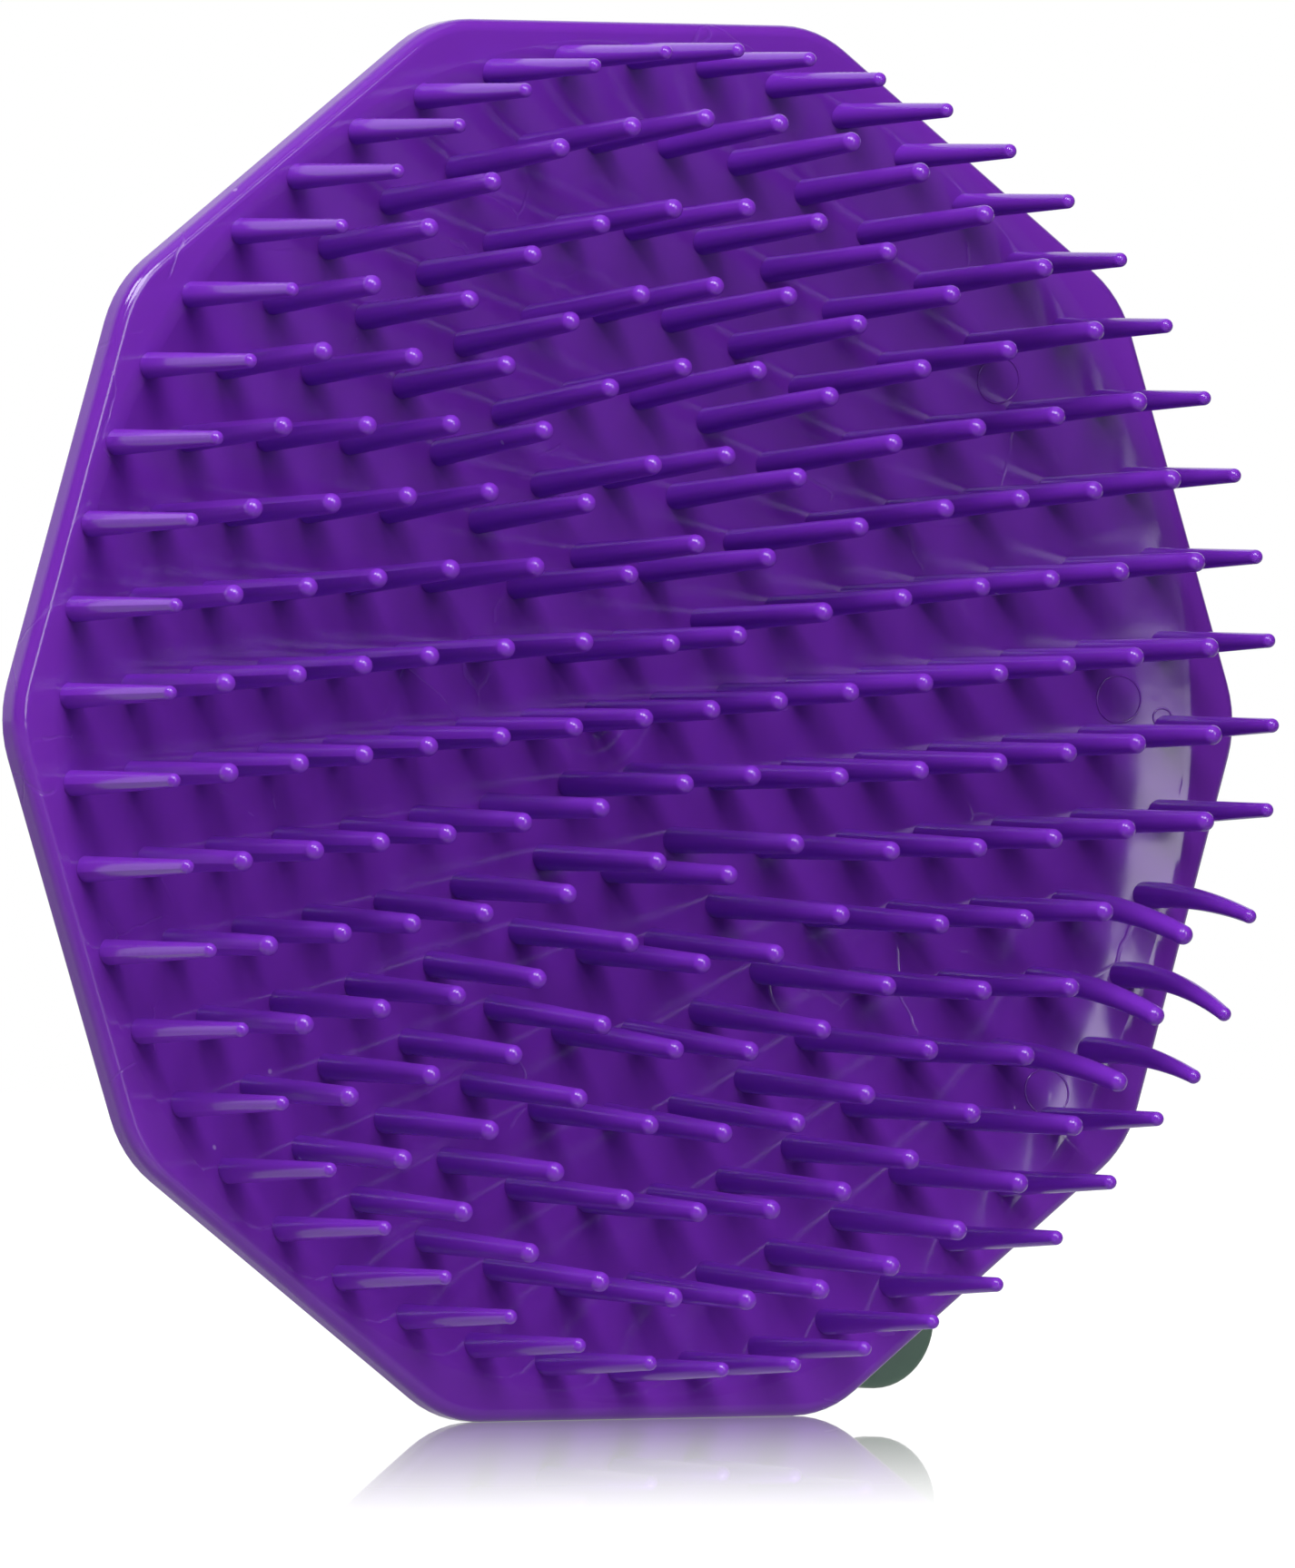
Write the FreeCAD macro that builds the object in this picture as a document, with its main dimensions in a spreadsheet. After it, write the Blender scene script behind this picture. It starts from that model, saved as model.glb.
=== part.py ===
"""Curry comb with a finger strap, in millimetres.

The pad stands on one flat of its ten-sided outline. World frame: +Z up, pins towards -Y, strap
towards +Y, origin in the middle of the flat that the pad stands on.
Pad frame: X right and Y up on the pin side, Z along the pins, Z = 0 at mid thickness of the rim.
Strap frame: X along the strap towards its nose, Y across it, Z away from the back of the rim.
"""
import FreeCAD, Part
import math
import os

import Sketcher

os.makedirs("parts", exist_ok=True)
V = FreeCAD.Vector
doc = FreeCAD.newDocument("curry_comb")

# ---------------------------------------------------------------- driving dimensions
DIMENSIONS = [
    ("pad_apothem", 45.0, "centre to flat of the ten-sided outline"),
    ("pad_thick", 2.2, "thickness of the pad"),
    ("corner_round", 8.0, "radius of the ten corners"),
    ("edge_round", 0.8, "radius of the rim on the pin side"),
    ("back_round", 0.5, "radius of the rim on the back"),
    ("dish_depth", 4.2, "depth of the hollow face at its centre"),
    ("dish_reach", 44.0, "radius where the hollow runs out"),
    ("bowl_radius", 262.0, "radius of the hollow's flat bowl"),
    ("wall_start", 38.0, "radius where the bowl turns up into its wall"),
    ("wall_slope", 20.0, "steepest slope of the wall, where the lip begins"),
    ("pattern_angle", 6.13, "angle of the pin pattern to the flats"),
    ("pattern_shift", 0.6, "the pin pattern sits this far left of the middle"),
    ("pattern_rise", 0.5, "and this far above it"),
    ("pin_root_dia", 1.8, "pin diameter at the face"),
    ("pin_tip_dia", 1.3, "pin diameter at its round end"),
    ("rim_tip_dia", 0.95, "the same on the outermost ring, whose pins taper more"),
    ("pin_sink", 1.0, "how far a pin is drawn into the pad before it is trimmed"),
    ("centre_tip", 9.4, "height of the centre pin's round end over the rim face"),
    ("tip_rise", 2.2, "how much higher the outermost pins end"),
    ("strap_angle", -60.3, "direction of the strap's nose"),
    ("strap_wide", 24.0, "strap width"),
    ("strap_thick", 2.2, "strap thickness"),
    ("tail_wide", 9.2, "width of the strap's tail"),
    ("nose_centre", 44.7, "centre of the nose's radius"),
    ("tail_level", 4.8, "mid plane of the tail over the rim's back"),
    ("hinge_place", -33.0, "hinge axis along the strap"),
    ("hinge_level", 7.4, "hinge axis over the rim's back"),
    ("barrel_dia", 7.4, "rolled end of the strap"),
    ("hinge_dia", 3.0, "hinge pin"),
    ("hinge_play", 0.06, "radial clearance of the strap on the hinge pin"),
    ("ear_inner", 12.4, "inner face of an ear from the strap's middle"),
    ("ear_thick", 3.0, "thickness of an ear"),
    ("anchor_top", 3.5, "top of the anchor's foot over the rim's back"),
    ("clip_dia", 5.6, "push-on clip"),
    ("clip_thick", 0.6, "push-on clip thickness"),
    ("strap_edge", 0.5, "rounding of the strap's long edges"),
    ("stud_place", 32.5, "stud axis along the strap"),
    ("stud_neck", 3.6, "stud neck diameter"),
    ("stud_head", 5.8, "stud head diameter"),
    ("stud_base_dia", 10.0, "stud base diameter"),
    ("stud_base_top", 3.4, "top of the stud base over the rim's back"),
    ("stud_seat", 2.6, "foot of the stud in its base, over the rim's back"),
    ("keyhole_round", 6.2, "round opening of a keyhole"),
    ("keyhole_slot", 3.7, "slot of a keyhole"),
    ("keyhole_pitch", 9.0, "distance between keyholes"),
]
RING_BASE = [5.0, 10.15, 15.35, 20.7, 26.0, 31.4, 36.9, 42.3]
RING_TIP = [5.2, 10.65, 16.3, 22.0, 27.1, 32.2, 37.8, 42.2]
for number, (base_radius, tip_radius) in enumerate(zip(RING_BASE, RING_TIP), start=1):
    DIMENSIONS.append((f"ring_{number}_root", base_radius, f"ring {number}: radius at the face"))
    DIMENSIONS.append((f"ring_{number}_end", tip_radius, f"ring {number}: radius at the pin ends"))

sheet = doc.addObject("Spreadsheet::Sheet", "sizes")
for row, (alias, size, meaning) in enumerate(DIMENSIONS, start=1):
    sheet.set(f"A{row}", alias)
    sheet.set(f"B{row}", str(size))
    sheet.set(f"C{row}", meaning)
    sheet.setAlias(f"B{row}", alias)
doc.recompute()
size = {alias: float(sheet.get(alias)) for alias, _, _ in DIMENSIONS}

# ---------------------------------------------------------------- frames
FACE_Z = size["pad_thick"] / 2
PAD_PLACE = FreeCAD.Placement(V(0, 0, size["pad_apothem"]), FreeCAD.Rotation(V(1, 0, 0), 90))
PATTERN_MIDDLE = V(-size["pattern_shift"], size["pattern_rise"], 0)
PATTERN_PLACE = PAD_PLACE.multiply(
    FreeCAD.Placement(PATTERN_MIDDLE, FreeCAD.Rotation(V(0, 0, 1), size["pattern_angle"]))
)
ANGLE = math.radians(size["strap_angle"])
ALONG = V(math.cos(ANGLE), 0, math.sin(ANGLE))
OUTWARD = V(0, 1, 0)
STRAP_PLACE = FreeCAD.Placement(
    V(0, FACE_Z, size["pad_apothem"]), FreeCAD.Rotation(ALONG, OUTWARD.cross(ALONG), OUTWARD)
)


# ---------------------------------------------------------------- helpers
def new_body(name, placement):
    """A body standing in one of the frames."""
    body = doc.addObject("PartDesign::Body", name + "_body")
    body.AllowCompound = True
    body.Placement = placement
    return body


def plane(body, role):
    """One of the body's own origin planes or axes."""
    for feature in body.Origin.OriginFeatures:
        if feature.Role == role:
            return feature
    raise RuntimeError(role)


def new_sketch(body, name, role):
    """A sketch on one of the body's own origin planes."""
    sketch = body.newObject("Sketcher::SketchObject", name)
    sketch.AttachmentSupport = [(plane(body, role), "")]
    sketch.MapMode = "FlatFace"
    return sketch


def line(sketch, start, end):
    """A straight edge; returns its number."""
    return sketch.addGeometry(Part.LineSegment(V(*start, 0), V(*end, 0)), False)


def arc(sketch, start, middle, end):
    """An arc through three points; returns its number."""
    return sketch.addGeometry(Part.Arc(V(*start, 0), V(*middle, 0), V(*end, 0)), False)


def join(sketch, edges, closed=True):
    """Ties each edge's end to the start of the next."""
    for first, second in zip(edges, edges[1:]):
        tie(sketch, first, second)
    if closed:
        tie(sketch, edges[-1], edges[0])


def tie(sketch, first, second):
    """Ties the two ends that meet, whichever way an arc was drawn."""
    best = None
    for end_a in (1, 2):
        for end_b in (1, 2):
            gap = sketch.getPoint(first, end_a).distanceToPoint(sketch.getPoint(second, end_b))
            if best is None or gap < best[0]:
                best = (gap, end_a, end_b)
    sketch.addConstraint(Sketcher.Constraint("Coincident", first, best[1], second, best[2]))


def closed_profile(sketch, corners):
    """A closed outline; each entry is a point, or a point and the middle of the arc that leads to it."""
    edges = []
    for here, there in zip(corners, corners[1:] + corners[:1]):
        start = here[:2]
        if len(there) == 4:
            edges.append(arc(sketch, start, there[2:], there[:2]))
        else:
            edges.append(line(sketch, start, there))
    join(sketch, edges)
    return edges


def circle(sketch, across, up, radius):
    """A circle whose place and radius are bound to the sheet; each is an expression."""
    spot = [float(sketch.evalExpression(text)) for text in (across, up, radius)]
    ring = sketch.addGeometry(Part.Circle(V(spot[0], spot[1], 0), V(0, 0, 1), spot[2]), False)
    for kind, text, value in (("DistanceX", across, spot[0]), ("DistanceY", up, spot[1])):
        number = sketch.addConstraint(Sketcher.Constraint(kind, -1, 1, ring, 3, value))
        sketch.setExpression(f"Constraints[{number}]", text)
    number = sketch.addConstraint(Sketcher.Constraint("Radius", ring, spot[2]))
    sketch.setExpression(f"Constraints[{number}]", radius)


def rectangle(sketch, left, right, low, high):
    """A rectangle whose four sides are bound to the sheet; each is an expression."""
    x0, x1, y0, y1 = (float(sketch.evalExpression(text)) for text in (left, right, low, high))
    edges = closed_profile(sketch, [(x0, y0), (x1, y0), (x1, y1), (x0, y1)])
    for edge in (edges[0], edges[2]):
        sketch.addConstraint(Sketcher.Constraint("Horizontal", edge))
    for edge in (edges[1], edges[3]):
        sketch.addConstraint(Sketcher.Constraint("Vertical", edge))
    for kind, edge, text, value in (
        ("DistanceX", edges[3], left, x0),
        ("DistanceX", edges[1], right, x1),
        ("DistanceY", edges[0], low, y0),
        ("DistanceY", edges[2], high, y1),
    ):
        number = sketch.addConstraint(Sketcher.Constraint(kind, -1, 1, edge, 1, value))
        sketch.setExpression(f"Constraints[{number}]", text)


def symmetric_pad(body, sketch, name, length):
    """A pad of the sketch, the same to both sides of its plane."""
    pad = body.newObject("PartDesign::Pad", name)
    pad.Profile = sketch
    pad.Midplane = True
    pad.setExpression("Length", length)
    return pad


def through_pocket(body, sketch, name, length="200"):
    """A cut of the sketch, to both sides of its plane."""
    doc.recompute()
    before = body.Shape.Volume
    pocket = body.newObject("PartDesign::Pocket", name)
    pocket.Profile = sketch
    pocket.Type = "Length"
    pocket.Midplane = True
    pocket.setExpression("Length", length)
    doc.recompute()
    if not body.Shape.Volume < before - 0.01:
        raise RuntimeError(name + " cuts nothing")
    return pocket


def full_turn(body, sketch, name, axis):
    """A full revolution of the sketch."""
    turned = body.newObject("PartDesign::Revolution", name)
    turned.Profile = sketch
    turned.ReferenceAxis = axis
    turned.Angle = 360.0
    return turned


def trimmed(name, body, tool):
    """The sub-part that is left of a body outside another sub-part."""
    cut = doc.addObject("Part::Cut", name)
    cut.Base = body
    cut.Tool = tool
    cut.Label = name
    return cut


# ---------------------------------------------------------------- comb pad
def face_arcs():
    """Radius and centre of the bowl, its wall and the lip, and the slopes where they meet."""
    bowl, reach = size["bowl_radius"], size["dish_reach"]
    low, high = math.asin(size["wall_start"] / bowl), math.radians(size["wall_slope"])
    run = reach - size["wall_start"]
    rise = size["dish_depth"] - bowl * (1 - math.cos(low))
    wall_run, wall_rise = math.sin(high) - math.sin(low), math.cos(low) - math.cos(high)
    lip_run, lip_rise = math.sin(high), 1 - math.cos(high)
    scale = wall_run * lip_rise - lip_run * wall_rise
    wall = (run * lip_rise - rise * lip_run) / scale
    lip = (rise * wall_run - run * wall_rise) / scale
    bowl_centre = V(0, FACE_Z - size["dish_depth"] + bowl, 0)
    wall_centre = bowl_centre + V(math.sin(low), -math.cos(low), 0) * (bowl - wall)
    return (bowl, bowl_centre), (wall, wall_centre), (lip, V(reach, FACE_Z - lip, 0)), low, high


def hollow_profile(depth):
    """The hollow's section at a depth under the face, from the middle to the rim."""
    (bowl, bowl_centre), (wall, wall_centre), (lip, lip_centre), low, high = face_arcs()

    def under(centre, radius, slope):
        return (centre.x + (radius + depth) * math.sin(slope), centre.y - (radius + depth) * math.cos(slope))

    def over(slope):
        return (lip_centre.x - (lip - depth) * math.sin(slope), lip_centre.y + (lip - depth) * math.cos(slope))

    return [
        under(bowl_centre, bowl, 0.0),
        (*under(bowl_centre, bowl, low), *under(bowl_centre, bowl, low / 2)),
        (*under(wall_centre, wall, high), *under(wall_centre, wall, (low + high) / 2)),
        (*over(0.0), *over(high / 2)),
    ]


def turned_round(profile):
    """The same run of edges, from its end to its start."""
    back, middles = [], None
    for entry in reversed(profile):
        back.append((*entry[:2], *middles) if middles else entry[:2])
        middles = entry[2:] if len(entry) == 4 else None
    return back


def face_height(radius):
    """Height of the pin side of the pad at a distance from its middle."""
    (bowl, bowl_centre), (wall, wall_centre), (lip, lip_centre), _, high = face_arcs()
    if radius < size["wall_start"]:
        return bowl_centre.y - math.sqrt(bowl**2 - radius**2)
    if radius < wall_centre.x + wall * math.sin(high):
        return wall_centre.y - math.sqrt(wall**2 - (radius - wall_centre.x) ** 2)
    if radius < size["dish_reach"]:
        return lip_centre.y + math.sqrt(lip**2 - (size["dish_reach"] - radius) ** 2)
    return FACE_Z


def make_pad():
    """The ten-sided pad: a dished disc, trimmed to its outline, with a rounded rim."""
    body = new_body("comb_pad", PAD_PLACE)
    thick = size["pad_thick"]
    outer = 60.0
    section = new_sketch(body, "pad_section", "XZ_Plane")
    rim = [(outer, FACE_Z), (outer, FACE_Z - thick)]
    closed_profile(section, hollow_profile(0.0) + rim + turned_round(hollow_profile(thick)))
    full_turn(body, section, "pad_disc", (plane(body, "Z_Axis"), [""]))
    doc.recompute()

    outline = new_sketch(body, "pad_outline", "XY_Plane")
    corner_radius = size["pad_apothem"] / math.cos(math.radians(18))
    corners = [
        (corner_radius * math.cos(math.radians(36 * k)), corner_radius * math.sin(math.radians(36 * k)))
        for k in range(10)
    ]
    closed_profile(outline, corners)
    outline.addGeometry(Part.Circle(V(0, 0, 0), V(0, 0, 1), 80.0), False)
    pocket = through_pocket(body, outline, "pad_trim")

    def rounded(base, name, alias, wanted):
        picked = [f"Edge{i + 1}" for i, edge in enumerate(base.Shape.Edges) if wanted(edge)]
        fillet = body.newObject("PartDesign::Fillet", name)
        fillet.Base = (base, picked)
        fillet.setExpression("Radius", f"sizes.{alias}")
        doc.recompute()
        return fillet

    def edge_at(height):
        def wanted(edge):
            box = edge.BoundBox
            middle = edge.valueAt((edge.FirstParameter + edge.LastParameter) / 2)
            flat = abs(box.ZMin - height) < 1e-4 and abs(box.ZMax - height) < 1e-4
            return flat and math.hypot(middle.x, middle.y) > size["pad_apothem"] - 0.01
        return wanted

    def upright(edge):
        box = edge.BoundBox
        return box.ZLength > thick - 0.01 and math.hypot(box.XMin, box.YMin) > 40

    corners_done = rounded(pocket, "pad_corners", "corner_round", upright)
    rim_done = rounded(corners_done, "pad_rim", "edge_round", edge_at(FACE_Z))
    rounded(rim_done, "pad_back_rim", "back_round", edge_at(-FACE_Z))
    body.Label = "comb_pad"
    return body


def make_pin_bed():
    """What lies behind the hollow face: a tool that ends the pins on the face."""
    body = new_body("pin_bed", PAD_PLACE)
    section = new_sketch(body, "bed_section", "XZ_Plane")
    closed_profile(section, hollow_profile(0.0) + [(60.0, FACE_Z), (60.0, -15.0), (0, -15.0)])
    full_turn(body, section, "bed_turned", (plane(body, "Z_Axis"), [""]))
    doc.recompute()
    return body


def make_filled_pad():
    """The pad's back with all that lies in front of it: a tool that shapes what sits on the back."""
    body = new_body("filled_pad", PAD_PLACE)
    section = new_sketch(body, "filled_section", "XZ_Plane")
    closed_profile(section, hollow_profile(size["pad_thick"]) + [(60.0, -FACE_Z), (60.0, 20.0), (0, 20.0)])
    full_turn(body, section, "filled_turned", (plane(body, "Z_Axis"), [""]))
    doc.recompute()
    return body


# ---------------------------------------------------------------- pins
def end_height(radius):
    """Height of the centre of a pin's round end."""
    last = size["ring_8_end"]
    return FACE_Z + size["centre_tip"] + size["tip_rise"] * (radius / last) ** 2


def pin_axis(base_radius, tip_radius):
    """The two ends of a pin's axis in radius and height: the centre of its round end, and its root."""
    tip = V(tip_radius, end_height(tip_radius), 0)
    base = V(base_radius, face_height(base_radius), 0)
    return base, tip


def end_diameter(number):
    """Diameter of the round end of a pin in a ring."""
    return size["rim_tip_dia"] if number == 8 else size["pin_tip_dia"]


def pin_section(sketch, base, tip, diameter):
    """Half a pin's section, from inside the pad to the round end, and the line it turns about."""
    along = (tip - base).normalize()
    side = V(along.y, -along.x, 0)
    root = size["pin_root_dia"] / 2
    end = diameter / 2
    sunk = base - along * size["pin_sink"]
    corners = [sunk, sunk + side * root, tip + side * end, tip + along * end]
    end_middle = tip + (side + along).normalize() * end
    points = [(p.x, p.y) for p in corners]
    points[3] = (*points[3], end_middle.x, end_middle.y)
    edges = closed_profile(sketch, points)
    sketch.toggleConstruction(edges[-1])
    sketch.addGeometry(Part.LineSegment(V(*points[-1][:2], 0), V(*points[0][:2], 0)), False)


def make_centre_pin():
    """The pin in the middle of the pattern, standing straight up."""
    body = new_body("centre_pin", PATTERN_PLACE)
    section = new_sketch(body, "centre_pin_section", "XZ_Plane")
    pin_section(section, V(0, face_height(0), 0), V(0, end_height(0), 0), end_diameter(0))
    full_turn(body, section, "centre_pin_turned", (section, ["Axis0"]))
    doc.recompute()
    return trimmed("centre_pin", body, pin_bed)


# Pins at the right that lean over: ring, place counted in pin pitches from the pattern's own X axis.
BENT_FIRST = {8: 3, 7: 3}
BENT_COUNT = 3


def make_ring(number):
    """One ring of pins: a pin turned about its own leaning axis, repeated round the pattern's middle."""
    count = 6 * number
    body = new_body(f"pin_ring_{number}", PATTERN_PLACE)
    pitch = 360.0 / count
    whole = number not in BENT_FIRST
    if not whole:
        turn = FreeCAD.Rotation(V(0, 0, 1), -pitch * (BENT_FIRST[number] - 1))
        body.Placement = PATTERN_PLACE.multiply(FreeCAD.Placement(V(), turn))
        count = count - BENT_COUNT
    section = new_sketch(body, f"ring_{number}_section", "XZ_Plane")
    ends = pin_axis(size[f"ring_{number}_root"], size[f"ring_{number}_end"])
    pin_section(section, *ends, end_diameter(number))
    first = full_turn(body, section, f"ring_{number}_pin", (section, ["Axis0"]))
    doc.recompute()
    pattern = body.newObject("PartDesign::PolarPattern", f"ring_{number}_pattern")
    pattern.Originals = [first]
    pattern.Axis = (plane(body, "Z_Axis"), [""])
    pattern.Angle = 360.0 if whole else pitch * (count - 1)
    pattern.Occurrences = count
    body.Tip = pattern
    doc.recompute()
    return trimmed(f"pin_ring_{number}", body, pin_bed)


def make_bent_pins():
    """The pins at the right of the two outer rings that lean over, each along a curved axis."""
    solids = []
    drops = {8: (1.5, 2.65, 1.8), 7: (1.9, 1.95, 1.45)}
    root = size["pin_root_dia"] / 2
    for number, first in BENT_FIRST.items():
        end = end_diameter(number) / 2
        pitch = 360.0 / (6 * number)
        base_radius = size[f"ring_{number}_root"]
        tip_radius = size[f"ring_{number}_end"]
        for place, drop in enumerate(drops[number], start=first):
            angle = math.radians(size["pattern_angle"] - pitch * place)
            outward = V(math.cos(angle), math.sin(angle), 0)
            base = outward * base_radius + V(0, 0, face_height(base_radius))
            tip = outward * tip_radius + V(0, 0, end_height(tip_radius))
            straight = tip - base
            stations = [-size["pin_sink"] / straight.Length, 0.0, 0.25, 0.5, 0.75, 1.0]
            wires = []
            for part in stations:
                bend = max(part, 0.0) ** 2
                middle = base + straight * part + V(0, -drop * bend, -0.2 * drop * bend)
                heading = straight / straight.Length
                lean = 2 * max(part, 0.0) * drop / straight.Length
                heading = (heading + V(0, -lean, -0.2 * lean)).normalize()
                radius = root + (end - root) * max(part, 0.0)
                wires.append(Part.Wire(Part.makeCircle(radius, middle, heading)))
            shaft = Part.makeLoft(wires, True, False)
            cap = Part.makeSphere(end, middle)
            solids.append(shaft.fuse(cap).removeSplitter().Solids[0])
    bent = doc.addObject("Part::Feature", "bent_pins_whole")
    bent.Shape = Part.makeCompound(solids)
    bent.Placement = PAD_PLACE.multiply(FreeCAD.Placement(PATTERN_MIDDLE, FreeCAD.Rotation()))
    return trimmed("bent_pins", bent, pin_bed)


# ---------------------------------------------------------------- strap, anchor and stud
def moved_in_strap_frame(along, outward):
    """A frame at a place along the strap, at a level over the rim's back."""
    return STRAP_PLACE.multiply(FreeCAD.Placement(V(along, 0, outward), FreeCAD.Rotation()))


def make_anchor():
    """The bracket that carries the hinge: a foot on the pad's back and two ears."""
    body = new_body("strap_anchor", moved_in_strap_frame(size["hinge_place"], 0))
    level = size["hinge_level"]
    ear = new_sketch(body, "ear_side", "XZ_Plane")
    closed_profile(ear, [
        (-5.5, 0),
        (5.5, 0),
        (4.0, level),
        (-4.0, level, 0, level + 4.0),
    ])
    symmetric_pad(body, ear, "ears", "2 * (sizes.ear_inner + sizes.ear_thick)")
    gap = new_sketch(body, "ear_gap", "XZ_Plane")
    rectangle(gap, "-12", "12", "sizes.anchor_top", "sizes.anchor_top + 15")
    through_pocket(body, gap, "between_ears", "2 * sizes.ear_inner")
    foot = new_sketch(body, "anchor_foot", "XY_Plane")
    half_width = "sizes.ear_inner + sizes.ear_thick"
    rectangle(foot, "-7", "7", f"-({half_width})", half_width)
    slab = body.newObject("PartDesign::Pad", "foot")
    slab.Profile = foot
    slab.setExpression("Length", "sizes.anchor_top")
    doc.recompute()
    bore = new_sketch(body, "hinge_bore", "XZ_Plane")
    circle(bore, "0", "sizes.hinge_level", "sizes.hinge_dia / 2")
    bored = through_pocket(body, bore, "bore")
    posts = [
        f"Edge{i + 1}"
        for i, edge in enumerate(bored.Shape.Edges)
        if abs(edge.BoundBox.ZLength - size["anchor_top"]) < 1e-3 and abs(abs(edge.BoundBox.XMin) - 7) < 1e-3
    ]
    rounding = body.newObject("PartDesign::Fillet", "foot_corners")
    rounding.Base = (bored, posts)
    rounding.Radius = 2.0
    doc.recompute()
    return trimmed("strap_anchor", body, filled_pad)


def make_hinge_pin():
    """The headed pin that the strap's rolled end turns on."""
    body = new_body("hinge_pin", moved_in_strap_frame(size["hinge_place"], size["hinge_level"]))
    ears = size["ear_inner"] + size["ear_thick"]
    shaft = size["hinge_dia"] / 2
    section = new_sketch(body, "hinge_pin_section", "XY_Plane")
    closed_profile(section, [
        (0, -ears - 1.3),
        (shaft + 0.7, -ears - 1.3),
        (shaft + 1.2, -ears - 0.8, shaft + 1.05, -ears - 1.15),
        (shaft + 1.2, -ears),
        (shaft, -ears),
        (shaft, ears + 1.1),
        (shaft - 0.4, ears + 1.5),
        (0, ears + 1.5),
    ])
    full_turn(body, section, "hinge_pin_turned", (plane(body, "Y_Axis"), [""]))
    body.Label = "hinge_pin"
    return body


def make_pin_clip():
    """The push-on clip on the end of the hinge pin."""
    body = new_body("pin_clip", moved_in_strap_frame(size["hinge_place"], size["hinge_level"]))
    ears = size["ear_inner"] + size["ear_thick"]
    section = new_sketch(body, "clip_section", "XY_Plane")
    inner = size["hinge_dia"] / 2
    outer = size["clip_dia"] / 2
    closed_profile(section, [
        (inner, ears),
        (outer, ears),
        (outer, ears + size["clip_thick"]),
        (inner + 0.3, ears + size["clip_thick"]),
        (inner, ears + size["clip_thick"] + 0.2),
    ])
    full_turn(body, section, "clip_turned", (plane(body, "Y_Axis"), [""]))
    body.Label = "pin_clip"
    return body


def ribbon(points, radii, half):
    """The outline of a band of even thickness along straight runs and arcs, as a closed profile."""
    near, far = [], []

    def unit(a, b):
        length = math.hypot(b[0] - a[0], b[1] - a[1])
        return ((b[0] - a[0]) / length, (b[1] - a[1]) / length)

    def offset(point, heading, amount):
        return (point[0] - heading[1] * amount, point[1] + heading[0] * amount)

    first = unit(points[0], points[1])
    near.append(offset(points[0], first, half))
    far.append(offset(points[0], first, -half))
    for before, corner, after, radius in zip(points, points[1:], points[2:], radii):
        came, goes = unit(before, corner), unit(corner, after)
        turn = math.atan2(came[0] * goes[1] - came[1] * goes[0], came[0] * goes[0] + came[1] * goes[1])
        reach = radius * math.tan(abs(turn) / 2)
        start = (corner[0] - came[0] * reach, corner[1] - came[1] * reach)
        stop = (corner[0] + goes[0] * reach, corner[1] + goes[1] * reach)
        centre = offset(start, came, math.copysign(radius, turn))
        mid = unit(centre, corner)
        for side, amount in ((near, half), (far, -half)):
            reduced = radius - amount * math.copysign(1.0, turn)
            side.append(offset(start, came, amount))
            side.append((*offset(stop, goes, amount), centre[0] + mid[0] * reduced, centre[1] + mid[1] * reduced))
    last = unit(points[-2], points[-1])
    near.append(offset(points[-1], last, half))
    far.append(offset(points[-1], last, -half))
    return near + turned_round(far)


def strap_rim_edges(shape, bore):
    """The long edges of the strap's outline, without the bore's and the ones across its thickness."""
    wide, nose = size["strap_wide"] / 2, size["tail_wide"] / 2

    def on_rim(point):
        if point.x > size["nose_centre"]:
            return abs(math.hypot(point.x - size["nose_centre"], point.y) - nose) < 0.01
        if point.x > 0 and point.z < size["tail_level"] + size["strap_thick"]:
            return abs(point.y) > nose - 0.01
        return abs(point.y) > wide - 0.01 or -3.0 < point.x < 18.0 and abs(point.y) > nose + 0.01

    names = []
    for i, edge in enumerate(shape.Edges):
        first, last = edge.ParameterRange
        points = [edge.valueAt(first + (last - first) * share) for share in (0.1, 0.35, 0.5, 0.65, 0.9)]
        in_bore = all(
            abs(math.hypot(point.x - size["hinge_place"], point.z - size["hinge_level"]) - bore) < 0.01
            for point in points
        )
        if edge.Length > size["strap_thick"] + 0.05 and not in_bore and all(on_rim(point) for point in points):
            names.append(f"Edge{i + 1}")
    return names


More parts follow.
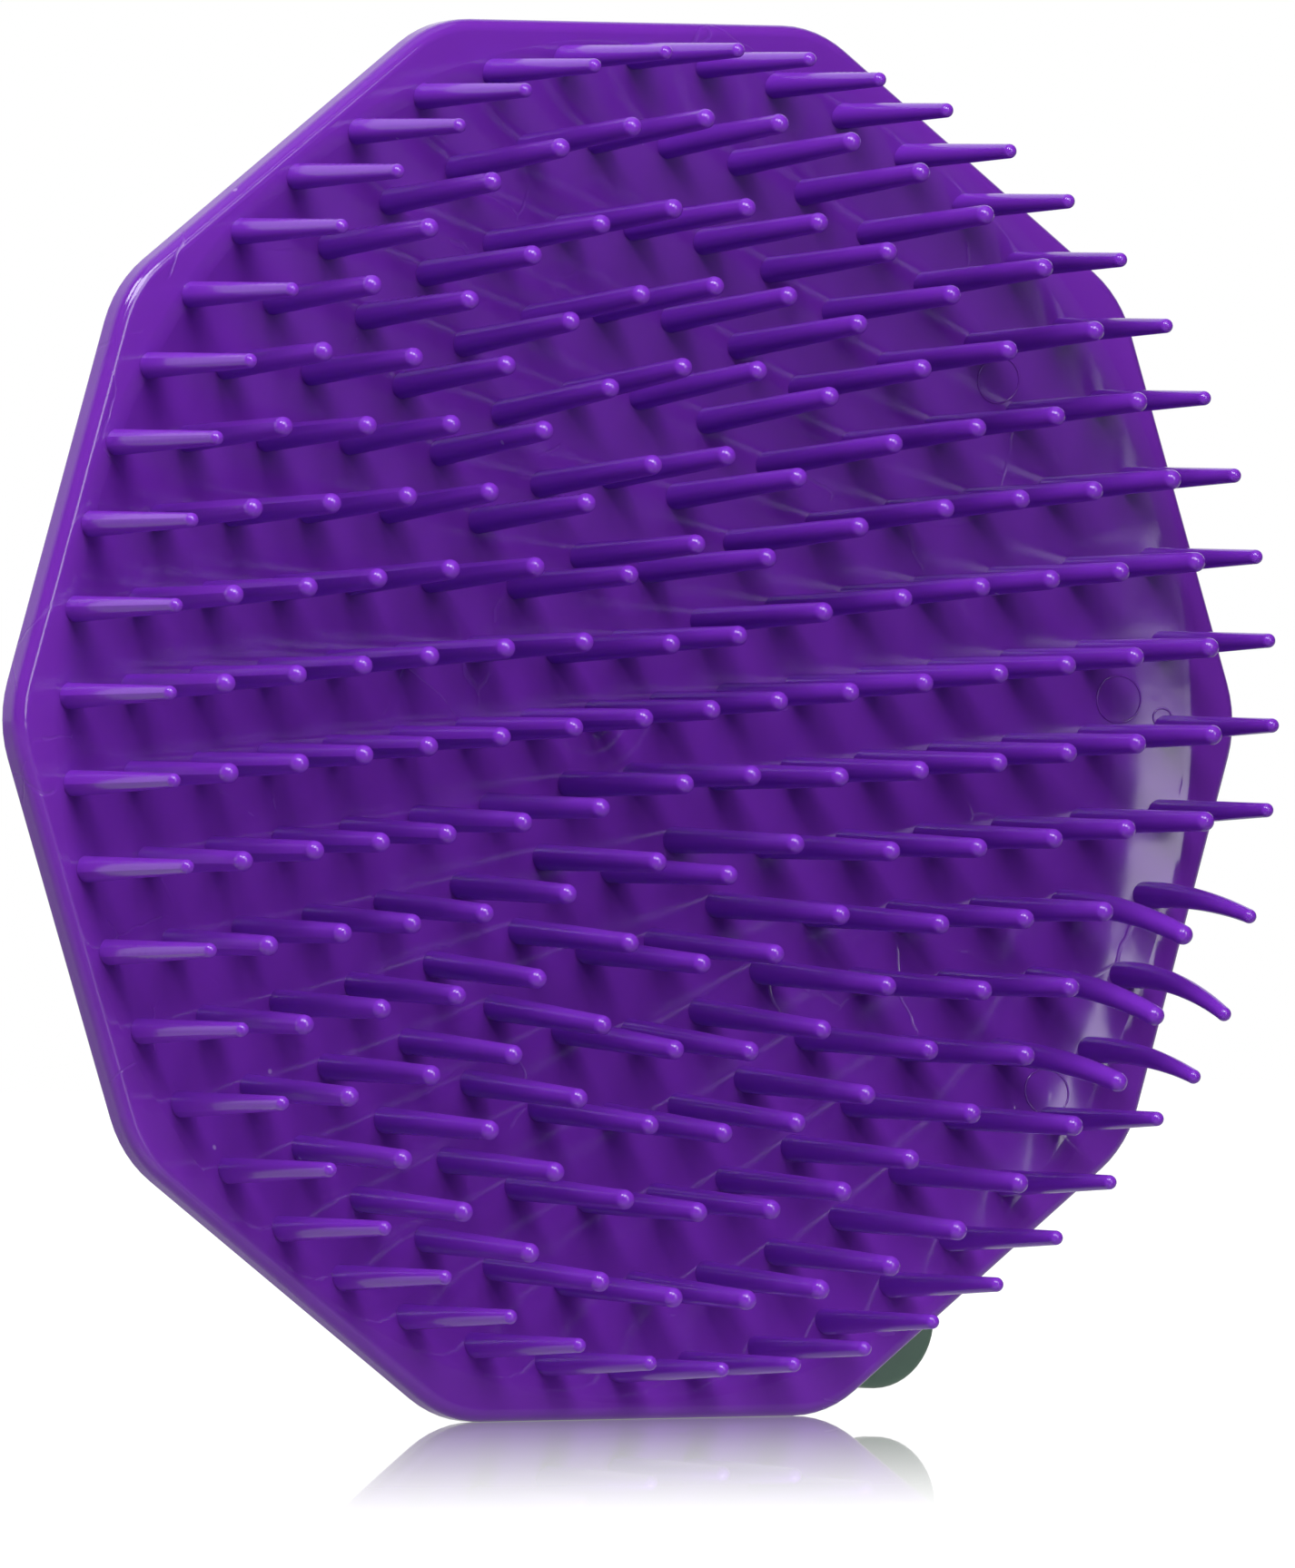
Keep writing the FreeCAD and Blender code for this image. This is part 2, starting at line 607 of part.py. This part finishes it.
def make_strap():
    """The finger strap: a rolled end, an arch, and a narrow tail with three keyholes and a round nose."""
    body = new_body("hand_strap", STRAP_PLACE)
    place, level = size["hinge_place"], size["hinge_level"]
    tail = size["tail_level"]
    half = size["strap_thick"] / 2
    nose = size["tail_wide"] / 2
    end = size["nose_centre"] + nose
    middle_line = [(place, level), (-29.0, 25.5), (-10.0, 32.0), (6.0, 24.5), (14.0, tail), (end + 1.0, tail)]
    side = new_sketch(body, "strap_side", "XZ_Plane")
    closed_profile(side, ribbon(middle_line, [12.0, 25.0, 14.0, 9.0], half))
    symmetric_pad(body, side, "strap_band", "sizes.strap_wide")
    doc.recompute()
    barrel = new_sketch(body, "barrel_side", "XZ_Plane")
    circle(barrel, "sizes.hinge_place", "sizes.hinge_level", "sizes.barrel_dia / 2")
    symmetric_pad(body, barrel, "rolled_end", "sizes.strap_wide")
    doc.recompute()
    bore = new_sketch(body, "barrel_bore", "XZ_Plane")
    circle(bore, "sizes.hinge_place", "sizes.hinge_level", "sizes.hinge_dia / 2 + sizes.hinge_play")
    through_pocket(body, bore, "strap_bore")

    wide = size["strap_wide"] / 2
    far, clear = end + 10, wide + 10
    begin, finish = -2.0, 17.0
    run, fall = finish - begin, wide - nose
    radius = (run**2 + fall**2) / (4 * fall)
    turn = math.asin(run / 2 / radius) / 2
    step = (radius * math.sin(turn), radius * (1 - math.cos(turn)))
    round_middle = nose * math.sqrt(0.5)
    for sign, name in ((1, "upper"), (-1, "lower")):
        trim = new_sketch(body, f"{name}_trim", "XY_Plane")
        closed_profile(trim, [
            (begin, sign * wide),
            (begin + run / 2, sign * (wide - fall / 2), begin + step[0], sign * (wide - step[1])),
            (finish, sign * nose, finish - step[0], sign * (nose + step[1])),
            (size["nose_centre"], sign * nose),
            (end, 0, size["nose_centre"] + round_middle, sign * round_middle),
            (far, 0),
            (far, sign * clear),
            (begin, sign * clear),
        ])
        through_pocket(body, trim, f"{name}_edge")

    for count in (-1, 0, 1):
        hole = new_sketch(body, f"keyhole_{count + 2}_outline", "XY_Plane")
        middle = size["stud_place"] + count * size["keyhole_pitch"]
        open_radius = size["keyhole_round"] / 2
        slot = size["keyhole_slot"] / 2
        meet = math.sqrt(open_radius**2 - slot**2)
        closed_profile(hole, [
            (middle + meet, -slot, middle - open_radius, 0),
            (middle + 2.7, -slot),
            (middle + 2.7, slot, middle + 2.7 + slot, 0),
            (middle + meet, slot),
        ])
        holed = through_pocket(body, hole, f"keyhole_{count + 2}")
    rounding = body.newObject("PartDesign::Fillet", "strap_edges")
    rounding.Base = (holed, strap_rim_edges(holed.Shape, size["hinge_dia"] / 2 + size["hinge_play"]))
    rounding.setExpression("Radius", "sizes.strap_edge")
    body.Tip = rounding
    body.Label = "hand_strap"
    return body


def make_stud_base():
    """The stiff round pad under the button stud."""
    body = new_body("stud_base", moved_in_strap_frame(size["stud_place"], 0))
    outer, neck, top = size["stud_base_dia"] / 2, size["stud_neck"] / 2, size["stud_base_top"]
    section = new_sketch(body, "stud_base_section", "XZ_Plane")
    closed_profile(section, [
        (0, 0),
        (outer, 0),
        (outer, top - 0.5),
        (outer - 0.5, top),
        (neck, top),
        (neck, size["stud_seat"]),
        (0, size["stud_seat"]),
    ])
    full_turn(body, section, "stud_base_turned", (plane(body, "Z_Axis"), [""]))
    doc.recompute()
    return trimmed("stud_base", body, filled_pad)


def make_stud():
    """The button stud: a neck and a low domed head."""
    body = new_body("button_stud", moved_in_strap_frame(size["stud_place"], 0))
    neck, head = size["stud_neck"] / 2, size["stud_head"] / 2
    under = size["tail_level"] + size["strap_thick"] / 2 + 0.4
    section = new_sketch(body, "stud_section", "XZ_Plane")
    closed_profile(section, [
        (0, size["stud_seat"]),
        (neck, size["stud_seat"]),
        (neck, under),
        (head, under),
        (head, under + 0.5),
        (0.6, under + 1.5, head * 0.68, under + 1.24),
        (0, under + 1.5),
    ])
    full_turn(body, section, "stud_turned", (plane(body, "Z_Axis"), [""]))
    body.Label = "button_stud"
    return body


# ---------------------------------------------------------------- build, check and write
pad = make_pad()
pin_bed = make_pin_bed()
filled_pad = make_filled_pad()
sub_parts = [pad, make_centre_pin()]
sub_parts += [make_ring(number) for number in range(1, 9)]
sub_parts += [
    make_bent_pins(),
    make_anchor(),
    make_hinge_pin(),
    make_pin_clip(),
    make_strap(),
    make_stud_base(),
    make_stud(),
]
doc.recompute()
for thing in doc.Objects:
    if "Invalid" in thing.State or "Error" in thing.State:
        raise RuntimeError(f"{thing.Name} failed: {thing.State}")
for sub_part in sub_parts:
    shape = sub_part.Shape
    if shape.isNull() or not shape.isValid():
        raise RuntimeError(sub_part.Label + " has no valid shape")
    print(sub_part.Label, len(shape.Solids), round(shape.Volume, 1), shape.optimalBoundingBox())
for sub_part in sub_parts:
    sub_part.Shape.exportStep(f"parts/{sub_part.Label}.step")
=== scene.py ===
import math

import bmesh
import bpy
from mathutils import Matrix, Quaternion, Vector
from mathutils.bvhtree import BVHTree


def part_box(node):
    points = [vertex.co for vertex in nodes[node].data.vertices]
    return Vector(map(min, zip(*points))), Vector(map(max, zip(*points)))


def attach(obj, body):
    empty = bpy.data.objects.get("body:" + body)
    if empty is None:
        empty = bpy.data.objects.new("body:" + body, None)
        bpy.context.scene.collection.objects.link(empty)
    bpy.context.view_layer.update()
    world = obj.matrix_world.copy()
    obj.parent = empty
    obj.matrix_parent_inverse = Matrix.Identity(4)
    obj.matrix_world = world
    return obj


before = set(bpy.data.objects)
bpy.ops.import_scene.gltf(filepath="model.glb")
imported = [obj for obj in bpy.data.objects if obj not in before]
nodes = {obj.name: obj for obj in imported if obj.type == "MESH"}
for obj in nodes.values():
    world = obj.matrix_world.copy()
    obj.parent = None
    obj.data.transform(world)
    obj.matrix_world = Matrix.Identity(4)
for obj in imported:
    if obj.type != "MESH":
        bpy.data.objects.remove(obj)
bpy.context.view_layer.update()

MM = 0.001

# Where things are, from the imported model: the pad's middle on its front plane, and half its width across the
# flats. The pins point to the front, which is -Y.
pad_low, pad_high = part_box("comb_pad")
PAD_MIDDLE = Vector(((pad_low.x + pad_high.x) / 2, pad_low.y, (pad_low.z + pad_high.z) / 2))
APOTHEM = (pad_high.z - pad_low.z) / 2
SIDES = 10
RINGS = 8
PINS = ["centre_pin", "bent_pins"] + [f"pin_ring_{number}" for number in range(1, RINGS + 1)]

WHITE = (1, 1, 1, 1)


# ---------------------------------------------------------------- shader helper
class Shader:
    """The node tree of a material or a world, built one node at a time."""

    # A Mix node's sockets for each kind of value: its first and second input, and its output.
    MIX_SOCKETS = {"FLOAT": (2, 3, 0), "RGBA": (6, 7, 2)}

    def __init__(self, owner, output):
        owner.use_nodes = True
        self.owner = owner
        self.tree = owner.node_tree
        self.tree.nodes.clear()
        self.output = self.tree.nodes.new("ShaderNode" + output)

    def put(self, node, key, value):
        """Gives a node's socket a value, or a link from another node's socket."""
        socket = node.inputs[key]
        if isinstance(value, bpy.types.NodeSocket):
            self.tree.links.new(value, socket)
        else:
            socket.default_value = value

    def add(self, kind, inputs=None, out=0, **settings):
        node = self.tree.nodes.new("ShaderNode" + kind)
        for name, value in settings.items():
            setattr(node, name, value)
        for key, value in (inputs or {}).items():
            self.put(node, key, value)
        return node.outputs[out]

    def math(self, operation, a, b=0.0):
        return self.add("Math", {0: a, 1: b}, operation=operation)

    def vector(self, operation, a, b=(0.0, 0.0, 0.0), out=0):
        return self.add("VectorMath", {0: a, 1: b}, out=out, operation=operation)

    def point(self):
        return self.add("TexCoord", out="Object")

    def noise(self, vector, scale, detail=2.0, rough=0.5):
        inputs = {"Vector": vector, "Scale": scale, "Detail": detail, "Roughness": rough}
        return self.add("TexNoise", inputs, out="Fac")

    def span(self, value, low, high, to_low=0.0, to_high=1.0, smooth=False):
        """Carries the range low to high over to the range to_low to to_high, and stops at its ends."""
        kind = "SMOOTHSTEP" if smooth else "LINEAR"
        inputs = {"Value": value, "From Min": low, "From Max": high, "To Min": to_low, "To Max": to_high}
        return self.add("MapRange", inputs, interpolation_type=kind)

    def spread(self, noise, to_low=0.0, to_high=1.0):
        """Spreads the values that a noise mostly has, 0.3 to 0.7, over a whole range."""
        return self.span(noise, 0.3, 0.7, to_low, to_high)

    def mix(self, factor, a, b, kind="RGBA"):
        first, second, result = self.MIX_SOCKETS[kind]
        node = self.tree.nodes.new("ShaderNodeMix")
        node.data_type = kind
        self.put(node, 0, factor)
        self.put(node, first, a)
        self.put(node, second, b)
        return node.outputs[result]

    def bump(self, height, strength, distance, normal=None):
        inputs = {"Height": height, "Strength": strength, "Distance": distance}
        if normal is not None:
            inputs["Normal"] = normal
        return self.add("Bump", inputs)

    def surface(self, socket):
        """Makes a shader socket the surface, and returns the material or world."""
        self.tree.links.new(socket, self.output.inputs["Surface"])
        return self.owner

    def principled(self, **inputs):
        names = {key.replace("_", " "): value for key, value in inputs.items()}
        return self.surface(self.add("BsdfPrincipled", names))


def material_shader(name):
    return Shader(bpy.data.materials.new(name), "OutputMaterial")


def linear(red, green, blue):
    """A colour given as display values from 0 to 255, as the linear colour that shaders take."""
    def one(value):
        value /= 255
        return value / 12.92 if value <= 0.04045 else ((value + 0.055) / 1.055) ** 2.4
    return (one(red), one(green), one(blue), 1.0)


# ---------------------------------------------------------------- materials
# A texture's scale is in features per metre, so 100 is one every 10 mm.
def rim_distance(shader, point):
    """How far a point is from the middle, measured square to the nearest of the pad's sides."""
    moved = shader.vector("ADD", point, tuple(-PAD_MIDDLE))
    farthest = None
    for side in range(SIDES // 2):
        angle = 2 * math.pi * side / SIDES
        facing = (math.sin(angle), 0.0, math.cos(angle))
        along = shader.vector("DOT_PRODUCT", moved, facing, out="Value")
        size = shader.math("ABSOLUTE", along)
        farthest = size if farthest is None else shader.math("MAXIMUM", farthest, size)
    return farthest


def hairlines(shader, point):
    """1 along sparse, short, wandering lines such as fine wrinkles and scratches, and 0 elsewhere."""
    reach = 2.2 * MM
    wander = shader.add("TexNoise", {"Vector": point, "Scale": 240.0, "Detail": 2.0}, out="Color")
    wander = shader.vector("MULTIPLY", wander, (reach, reach, reach))
    moved = shader.vector("ADD", point, wander)
    inputs = {"Vector": moved, "Scale": 130.0}
    from_edge = shader.add("TexVoronoi", inputs, out="Distance", feature="DISTANCE_TO_EDGE")
    lines = shader.span(from_edge, low=0.006, high=0.016, to_low=1.0, to_high=0.0)
    where = shader.span(shader.noise(point, scale=95.0, detail=3.0, rough=0.6), low=0.56, high=0.62)
    return shader.math("MULTIPLY", lines, where)


def moulded_purple(name, deep, pale, gloss, worn):
    """Soft moulded rubber: slight mottling, a rim painted paler as painted rim light, pale specks, an uneven
    sheen and orange peel.

    deep and pale are the colours that it is mottled with, gloss is the range of its roughness, and worn is
    how strong the hairlines are, from 0 to 1.
    """
    # Painted rim light: a band along the pad's edge is painted paler and pinker, standing in for the light
    # that the edge catches.
    painted_rim_light_width = 4.5 * MM
    painted_rim_light_colour = linear(138, 66, 190)
    painted_rim_light_share = 0.08
    speck_colour = linear(190, 170, 215)
    speck_share = 0.35
    hair_dullness = 0.2
    peel_height = 0.03 * MM
    swell_height = 0.1 * MM
    hair_depth = 0.04 * MM

    shader = material_shader(name)
    point = shader.point()
    cloud = shader.noise(point, scale=55.0, detail=3.0)
    peel = shader.noise(point, scale=420.0, detail=3.0)
    colour = shader.mix(shader.spread(cloud), deep, pale)
    # Painted rim light: the colour turns paler towards the pad's edge, by distance from the middle.
    outwards = rim_distance(shader, point)
    painted_rim_light = shader.span(outwards, APOTHEM - painted_rim_light_width, APOTHEM, to_high=painted_rim_light_share, smooth=True)
    colour = shader.mix(painted_rim_light, colour, painted_rim_light_colour)
    from_speck = shader.add("TexVoronoi", {"Vector": point, "Scale": 150.0}, out="Distance", feature="F1")
    speck = shader.span(from_speck, low=0.018, high=0.03, to_low=speck_share, to_high=0.0)
    colour = shader.mix(speck, colour, speck_colour)

    hair = shader.math("MULTIPLY", hairlines(shader, point), worn)
    grain = shader.span(peel, low=0.35, high=0.75, to_low=-0.015, to_high=0.03)
    rough = shader.math("ADD", shader.spread(cloud, *gloss), grain)
    rough = shader.math("ADD", rough, shader.math("MULTIPLY", hair, hair_dullness))

    normal = shader.bump(peel, strength=0.25, distance=peel_height)
    swell = shader.noise(point, scale=170.0)
    normal = shader.bump(swell, strength=0.5, distance=swell_height, normal=normal)
    groove = shader.math("SUBTRACT", 1.0, hair)
    normal = shader.bump(groove, strength=0.4, distance=hair_depth, normal=normal)
    return shader.principled(
        Base_Color=colour, Roughness=rough, Normal=normal, IOR=1.47,
        Subsurface_Weight=0.2, Subsurface_Radius=(1.0, 0.35, 1.3), Subsurface_Scale=1.2 * MM,
    )


def satin_rubber(name, deep, pale):
    """Grey-green rubber or plastic, mottled, with a fine grain and a slight sheen."""
    grain_height = 0.03 * MM

    shader = material_shader(name)
    point = shader.point()
    cloud = shader.noise(point, scale=90.0, detail=4.0, rough=0.6)
    grain = shader.noise(point, scale=1500.0)
    colour = shader.mix(shader.spread(cloud), deep, pale)
    rough = shader.math("ADD", shader.spread(cloud, 0.42, 0.56), shader.spread(grain, -0.03, 0.04))
    normal = shader.bump(grain, strength=0.35, distance=grain_height)
    return shader.principled(
        Base_Color=colour, Roughness=rough, Normal=normal, IOR=1.5,
        Sheen_Weight=0.1, Sheen_Roughness=0.5,
    )


def turned_steel(name):
    """Plain steel with fine marks, much closer together from front to back than across."""
    marks_per_metre = (300.0, 4000.0, 300.0)
    mark_depth = 0.01 * MM

    shader = material_shader(name)
    point = shader.point()
    stretched = shader.add("Mapping", {"Vector": point, "Scale": marks_per_metre})
    marks = shader.noise(stretched, scale=1.0)
    cloud = shader.noise(point, scale=300.0, detail=3.0)
    colour = shader.mix(shader.spread(cloud), linear(172, 174, 178), linear(200, 201, 204))
    dull = shader.span(cloud, low=0.4, high=0.8, to_low=0.0, to_high=0.08)
    rough = shader.math("ADD", shader.spread(marks, 0.2, 0.32), dull)
    normal = shader.bump(marks, strength=0.3, distance=mark_depth)
    return shader.principled(Base_Color=colour, Roughness=rough, Normal=normal, Metallic=1.0)


def dress(names, material):
    for name in names:
        mesh = nodes[name].data
        mesh.materials.clear()
        mesh.materials.append(material)


def dress_comb():
    """Gives every CAD node its material."""
    pad = moulded_purple(
        "moulded_pad", deep=linear(99, 35, 153), pale=linear(105, 38, 161), gloss=(0.105, 0.14), worn=1.0)
    pins = moulded_purple(
        "moulded_pins", deep=linear(112, 42, 176), pale=linear(118, 46, 184), gloss=(0.15, 0.2), worn=0.0)
    strap = satin_rubber("strap_rubber", deep=linear(76, 104, 88), pale=linear(94, 120, 104))
    fittings = satin_rubber("fitting_plastic", deep=linear(70, 82, 72), pale=linear(80, 92, 80))
    steel = turned_steel("turned_steel")
    dress(["comb_pad"], pad)
    dress(PINS, pins)
    dress(["hand_strap"], strap)
    dress(["strap_anchor", "stud_base"], fittings)
    dress(["hinge_pin", "pin_clip", "button_stud"], steel)


# ---------------------------------------------------------------- mould marks
# Each mark's place to the right of the pad's middle and above it, and its radius, in millimetres.
MARKS = ((38.4, 1.4, 1.55), (41.4, 0.2, 0.6), (32.2, -24.2, 1.5), (29.3, 22.2, 1.5))
MARK_STEPS = 56
BEAD_STEPS = 8
BEAD_RADIUS = 0.07 * MM
RAY_START = 10 * MM


def make_mould_mark(name, across, up, radius, pad_tree):
    """A faint raised ring that an ejector pin leaves on the hollow face, laid on the pad's own surface."""
    backwards = Vector((0, 1, 0))
    middle = PAD_MIDDLE + Vector((across, 0, up))
    shape = bmesh.new()
    loops = []
    for step in range(MARK_STEPS):
        turn = 2 * math.pi * step / MARK_STEPS
        out = Vector((math.cos(turn), 0, math.sin(turn)))
        over = middle + out * radius - backwards * RAY_START
        spot = pad_tree.ray_cast(over, backwards)[0]
        loop = []
        for part in range(BEAD_STEPS):
            roll = 2 * math.pi * part / BEAD_STEPS
            from_spot = out * math.cos(roll) - backwards * math.sin(roll)
            loop.append(shape.verts.new(spot + from_spot * BEAD_RADIUS))
        loops.append(loop)
    for here, there in zip(loops, loops[1:] + loops[:1]):
        for part in range(BEAD_STEPS):
            following = (part + 1) % BEAD_STEPS
            shape.faces.new((here[part], here[following], there[following], there[part]))
    bmesh.ops.recalc_face_normals(shape, faces=shape.faces)
    mesh = bpy.data.meshes.new(name)
    shape.to_mesh(mesh)
    shape.free()
    mesh.polygons.foreach_set("use_smooth", [True] * len(mesh.polygons))
    mesh.materials.append(nodes["comb_pad"].data.materials[0])
    mark = bpy.data.objects.new(name, mesh)
    bpy.context.scene.collection.objects.link(mark)
    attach(mark, "comb")


def make_mould_marks():
    pad_shape = bmesh.new()
    pad_shape.from_mesh(nodes["comb_pad"].data)
    pad_tree = BVHTree.FromBMesh(pad_shape)
    for number, (across, up, radius) in enumerate(MARKS, start=1):
        make_mould_mark(f"mould_mark_{number}", across * MM, up * MM, radius * MM, pad_tree)
    pad_shape.free()


# ---------------------------------------------------------------- studio
def make_floor():
    """A pale matt floor that glows like white paper, with a gloss that fades away from the object."""
    half = 6.0
    grey = (0.2, 0.2, 0.2, 1)
    gloss_reach = 0.36

    mesh = bpy.data.meshes.new("floor")
    corners = [(-half, -half, 0), (half, -half, 0), (half, half, 0), (-half, half, 0)]
    mesh.from_pydata(corners, [], [(0, 1, 2, 3)])
    floor = bpy.data.objects.new("floor", mesh)
    bpy.context.scene.collection.objects.link(floor)

    shader = material_shader("pale_floor")
    matt = shader.add("BsdfDiffuse", {"Color": grey})
    from_middle = shader.vector("LENGTH", shader.point(), out="Value")
    depth = shader.add("SeparateXYZ", {0: shader.point()}, out="Y")

    # The camera sees white paper, slightly greyer just in front of the object.
    outwards = shader.span(from_middle, low=0.15, high=0.4, to_low=0.85, to_high=1.05)
    backwards = shader.span(depth, low=-0.02, high=0.02)
    paper_white = shader.math("MAXIMUM", outwards, backwards)
    seen = shader.math("MULTIPLY", shader.add("LightPath", out="Is Camera Ray"), paper_white)
    # From a little in front of the object's middle backwards, the floor also lights the object.
    lit = shader.span(depth, low=-0.045, high=-0.015, to_low=0.0, to_high=0.42)
    glow = shader.add("Emission", {"Color": WHITE, "Strength": shader.math("MAXIMUM", seen, lit)})
    paper = shader.add("AddShader", {0: matt, 1: glow})

    gloss = shader.add("BsdfGlossy", {"Color": WHITE, "Roughness": 0.012})
    fade = shader.span(from_middle, low=0.0, high=gloss_reach, to_low=1.0, to_high=0.0)
    shine = shader.math("MULTIPLY", fade, shader.add("Fresnel", {"IOR": 1.5}))
    mesh.materials.append(shader.surface(shader.add("MixShader", {0: shine, 1: paper, 2: gloss})))


def make_world():
    """Bright paper behind the object, an almost dark room around it, and white where the camera looks."""
    dark = 0.03
    bright = 1.02
    camera_white = 1.0

    shader = Shader(bpy.data.worlds.new("studio"), "OutputWorld")
    direction = shader.add("TexCoord", out="Generated")
    backwards = shader.add("SeparateXYZ", {0: direction}, out="Y")
    room = shader.span(backwards, low=0.12, high=0.6, to_low=dark, to_high=bright, smooth=True)
    seen = shader.add("LightPath", out="Is Camera Ray")
    strength = shader.mix(seen, room, camera_white, kind="FLOAT")
    background = shader.add("Background", {"Color": WHITE, "Strength": strength})
    bpy.context.scene.world = shader.surface(background)


def place(thing, target, azimuth, elevation, distance, roll=0.0):
    """Puts a light or camera where it faces target: azimuth 0 is straight in front, positive to the right."""
    turn = math.radians(azimuth)
    rise = math.radians(elevation)
    outward = Vector((math.sin(turn) * math.cos(rise), -math.cos(turn) * math.cos(rise), math.sin(rise)))
    bpy.context.scene.collection.objects.link(thing)
    thing.location = target + outward * distance
    thing.rotation_mode = "QUATERNION"
    level = outward.to_track_quat("Z", "Y")
    thing.rotation_quaternion = level @ Quaternion((0, 0, 1), math.radians(roll))


def softbox(name, azimuth, elevation, distance, width, height, power):
    """An area light at a direction from the pad's middle, in metres and watts."""
    light = bpy.data.lights.new(name, "AREA")
    light.shape = "RECTANGLE"
    light.size = width
    light.size_y = height
    light.energy = power
    lamp = bpy.data.objects.new(name, light)
    place(lamp, PAD_MIDDLE, azimuth, elevation, distance)
    lamp.visible_camera = False


def make_lights():
    softbox("key", azimuth=-66, elevation=50, distance=0.5, width=0.15, height=0.15, power=1.1)
    softbox("second", azimuth=-24, elevation=42, distance=0.5, width=0.21, height=0.21, power=1.85)
    softbox("strip", azimuth=3, elevation=18, distance=1.3, width=0.36, height=0.85, power=5.6)
    softbox("top", azimuth=-10, elevation=84, distance=0.8, width=0.6, height=0.5, power=0.6)


def make_camera():
    """A long lens that looks at the pins from the front left, nearly level."""
    azimuth = -33.2
    elevation = -0.6
    distance = 1.45
    roll = -0.46
    aim_right = 0.57
    aim_down = 4.12

    data = bpy.data.cameras.new("camera")
    data.lens = 517.0
    data.sensor_width = 36.0
    data.clip_start = 0.05
    data.clip_end = 30.0
    camera = bpy.data.objects.new("camera", data)
    turn = math.radians(azimuth)
    right = Vector((math.cos(turn), math.sin(turn), 0))
    aim = PAD_MIDDLE + right * aim_right * MM + Vector((0, 0, -aim_down * MM))
    place(camera, aim, azimuth, elevation, distance, roll)
    bpy.context.scene.camera = camera


dress_comb()
make_mould_marks()
make_floor()
make_world()
make_lights()
make_camera()
bpy.context.scene.view_settings.view_transform = "Standard"
